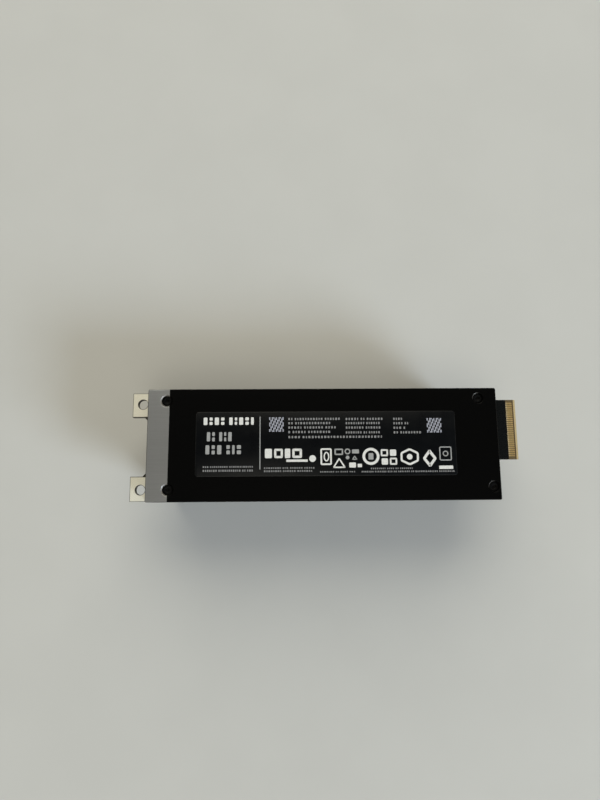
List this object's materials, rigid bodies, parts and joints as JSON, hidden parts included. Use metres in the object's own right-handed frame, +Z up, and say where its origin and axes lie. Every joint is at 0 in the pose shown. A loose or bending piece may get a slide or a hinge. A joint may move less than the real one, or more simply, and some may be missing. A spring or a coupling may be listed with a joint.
{
  "type": "data center solid state drive",
  "caption": "Slim server drive: flat cover with a label over a finned heat sink, latch ears with holes at one end and a gold card edge at the other.",
  "frame": {"origin": "centre of the drive's box in plan, in the plane of the fin tips that it rests on", "axes": "+X along the drive from the latch ears to the card edge, +Y across it, +Z up out of the label"},
  "size_m": [0.1188, 0.0338, 0.025],
  "materials": {
    "black_coat": "matte black coat, bare satin front band and ears",
    "black_screw": "black oxide",
    "label_film": "printed film",
    "board_laminate": "black solder mask, cream laminate at the bevel",
    "contact_gold": "gold plate",
    "chip_mould": "moulded package",
    "chip_lid": "nickel plate",
    "capacitor_case": "moulded case with tinned straps",
    "inductor_core": "pressed powder",
    "ceramic_block": "fired ceramic",
    "lamp_lens": "clear lens",
    "light_guide": "clear moulding",
    "thermal_pad": "soft pad"
  },
  "bodies": {
    "root": {"heat_sink": "black_coat", "top_cover": "black_coat", "cover_screws": "black_screw", "drive_label": "label_film", "circuit_board": "board_laminate", "edge_contacts_top": "contact_gold", "edge_contacts_bottom": "contact_gold", "flash_upper_1": "chip_mould", "flash_upper_2": "chip_mould", "flash_upper_3": "chip_mould", "flash_lower_1": "chip_mould", "flash_lower_2": "chip_mould", "memory_chip_1": "chip_mould", "memory_chip_2": "chip_mould", "boot_memory": "chip_mould", "power_manager": "chip_mould", "hot_swap_switch": "chip_mould", "temperature_sensor": "chip_mould", "surge_clamp": "chip_mould", "controller": "chip_lid", "clock_crystal": "chip_lid", "holdup_capacitor_1": "capacitor_case", "holdup_capacitor_2": "capacitor_case", "holdup_capacitor_3": "capacitor_case", "holdup_capacitor_4": "capacitor_case", "holdup_capacitor_5": "capacitor_case", "holdup_capacitor_6": "capacitor_case", "holdup_capacitor_7": "capacitor_case", "holdup_capacitor_8": "capacitor_case", "power_inductor_1": "inductor_core", "power_inductor_2": "inductor_core", "power_inductor_3": "inductor_core", "ceramic_capacitors": "ceramic_block", "status_led_1": "lamp_lens", "status_led_2": "lamp_lens", "light_guide_1": "light_guide", "light_guide_2": "light_guide", "thermal_pad_lower_flash": "thermal_pad", "thermal_pad_lower_controller": "thermal_pad", "thermal_pad_lower_power": "thermal_pad", "thermal_pad_upper_flash": "thermal_pad", "thermal_pad_upper_memory": "thermal_pad"}
  },
  "joints": []
}
